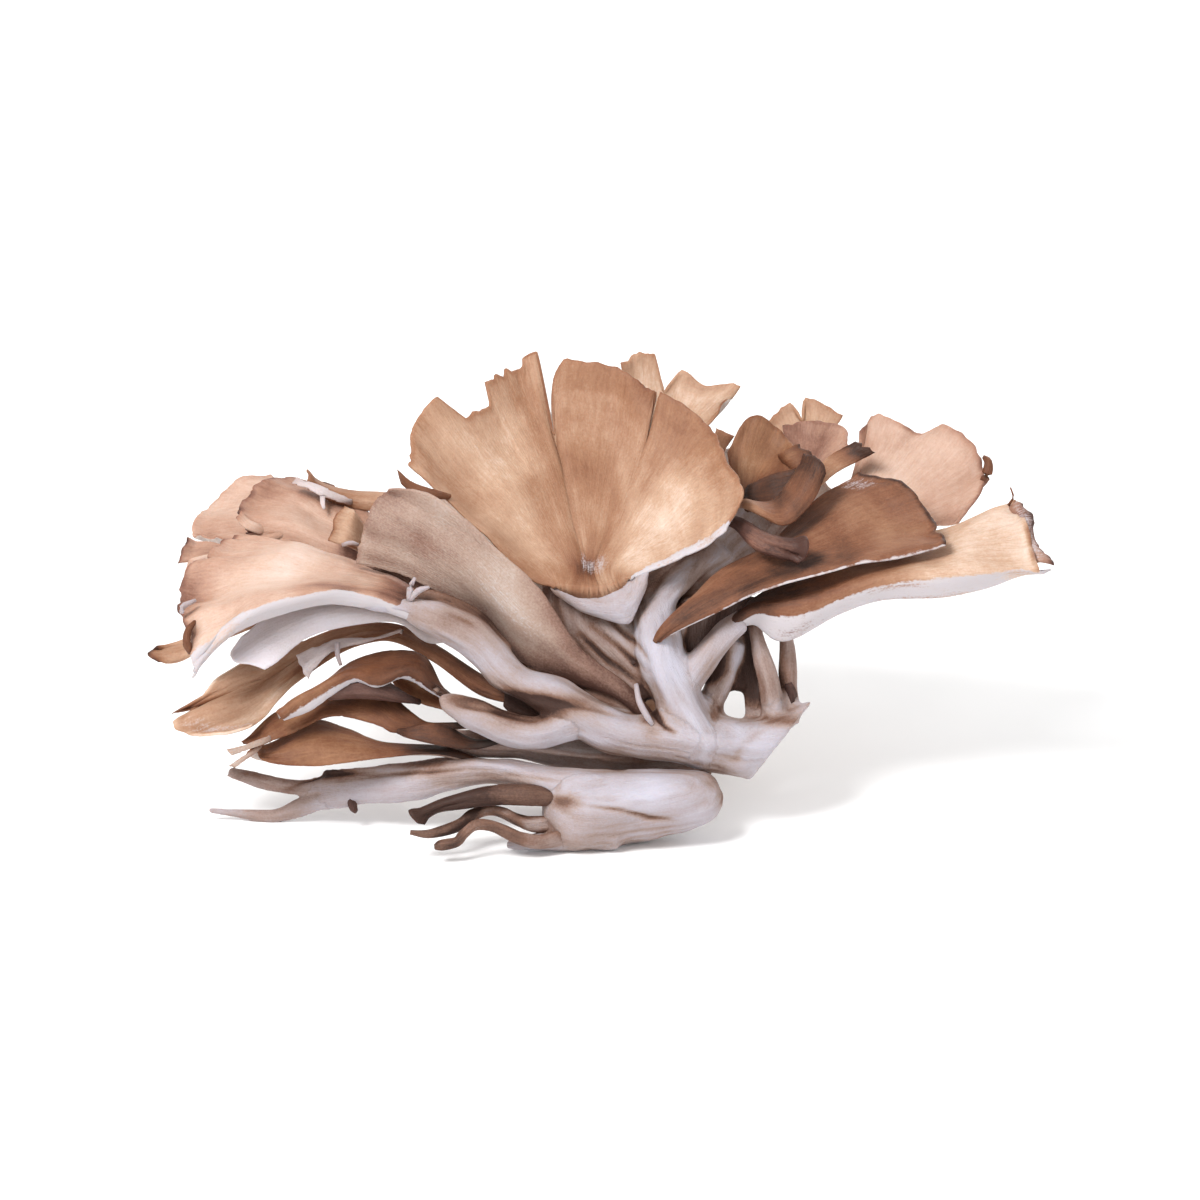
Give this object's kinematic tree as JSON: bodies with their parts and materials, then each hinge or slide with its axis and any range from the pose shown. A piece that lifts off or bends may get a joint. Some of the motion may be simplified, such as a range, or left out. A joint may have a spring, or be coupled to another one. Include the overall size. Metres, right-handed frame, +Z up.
{
  "type": "maitake mushroom",
  "caption": "Torn cluster of maitake mushroom lying on its side: flat fan-shaped fronds on a pale, branching stem, for food and forest scenes.",
  "frame": {"origin": "middle of the small flat spot under the lower branch, on the table", "axes": "+X from the far left fronds to the far right frond, +Y from the front to the back, +Z up"},
  "size_m": [0.1501, 0.0675, 0.0717],
  "materials": {
    "arched_leaf": "matt brown upper side",
    "back_left_frond": "matt pink-tan upper side with fibres",
    "behind_cap_frond": "matt tan upper side with fibres",
    "big_cap": "matt tan upper side with fibres",
    "brown_right_frond": "matt brown upper side",
    "cap_side_tip": "matt brown upper side",
    "curled_ribbon": "matt tan upper side with fibres",
    "curly_stalk_lower": "matt, dark and wrinkled",
    "curly_stalk_upper": "matt, dark and wrinkled",
    "curly_strap": "matt brown upper side",
    "far_right_frond": "matt tan upper side with fibres",
    "hollow_leaf": "matt, dark and wrinkled",
    "leaf_flap": "matt tan upper side with fibres",
    "left_front_frond": "matt pink-tan upper side with fibres",
    "left_tongue": "matt brown upper side",
    "left_under_frond": "matt, fibrous, lilac-white flesh",
    "lobed_back_frond": "matt tan upper side with fibres",
    "lower_branch": "matt, fibrous, lilac-white flesh",
    "lower_brown_blade": "matt brown upper side",
    "lower_left_fan": "matt tan upper side with fibres",
    "middle_frond": "matt brown upper side",
    "pale_frond": "matt cream pore side",
    "pale_right_frond": "matt pink-tan upper side with fibres",
    "pinkish_back_frond": "matt pink-tan upper side with fibres",
    "pointed_leaf": "matt, dark and wrinkled",
    "pore_flap": "matt cream pore side",
    "rear_left_frond": "matt tan upper side with fibres",
    "rear_low_frond": "matt tan upper side with fibres",
    "rear_right_frond": "matt tan upper side with fibres",
    "rear_upper_frond": "matt tan upper side with fibres",
    "ridge_frond": "matt tan upper side with fibres",
    "right_tan_frond": "matt tan upper side with fibres",
    "shrivelled_leaf": "matt, dark and wrinkled",
    "small_fold": "matt pink-tan upper side with fibres",
    "small_tip": "matt tan upper side with fibres",
    "stem": "matt, fibrous, lilac-white flesh",
    "upper_left_frond": "matt pink-tan upper side with fibres",
    "wrinkled_web": "matt, fibrous, lilac-white flesh"
  },
  "bodies": {
    "root": {"arched_leaf": "arched_leaf", "back_left_frond": "back_left_frond", "behind_cap_frond": "behind_cap_frond", "big_cap": "big_cap", "brown_right_frond": "brown_right_frond", "cap_side_tip": "cap_side_tip", "curled_ribbon": "curled_ribbon", "curly_stalk_lower": "curly_stalk_lower", "curly_stalk_upper": "curly_stalk_upper", "curly_strap": "curly_strap", "far_right_frond": "far_right_frond", "hollow_leaf": "hollow_leaf", "leaf_flap": "leaf_flap", "left_front_frond": "left_front_frond", "left_tongue": "left_tongue", "left_under_frond": "left_under_frond", "lobed_back_frond": "lobed_back_frond", "lower_branch": "lower_branch", "lower_brown_blade": "lower_brown_blade", "lower_left_fan": "lower_left_fan", "middle_frond": "middle_frond", "pale_frond": "pale_frond", "pale_right_frond": "pale_right_frond", "pinkish_back_frond": "pinkish_back_frond", "pointed_leaf": "pointed_leaf", "pore_flap": "pore_flap", "rear_left_frond": "rear_left_frond", "rear_low_frond": "rear_low_frond", "rear_right_frond": "rear_right_frond", "rear_upper_frond": "rear_upper_frond", "ridge_frond": "ridge_frond", "right_tan_frond": "right_tan_frond", "shrivelled_leaf": "shrivelled_leaf", "small_fold": "small_fold", "small_tip": "small_tip", "stem": "stem", "upper_left_frond": "upper_left_frond", "wrinkled_web": "wrinkled_web"}
  },
  "joints": []
}
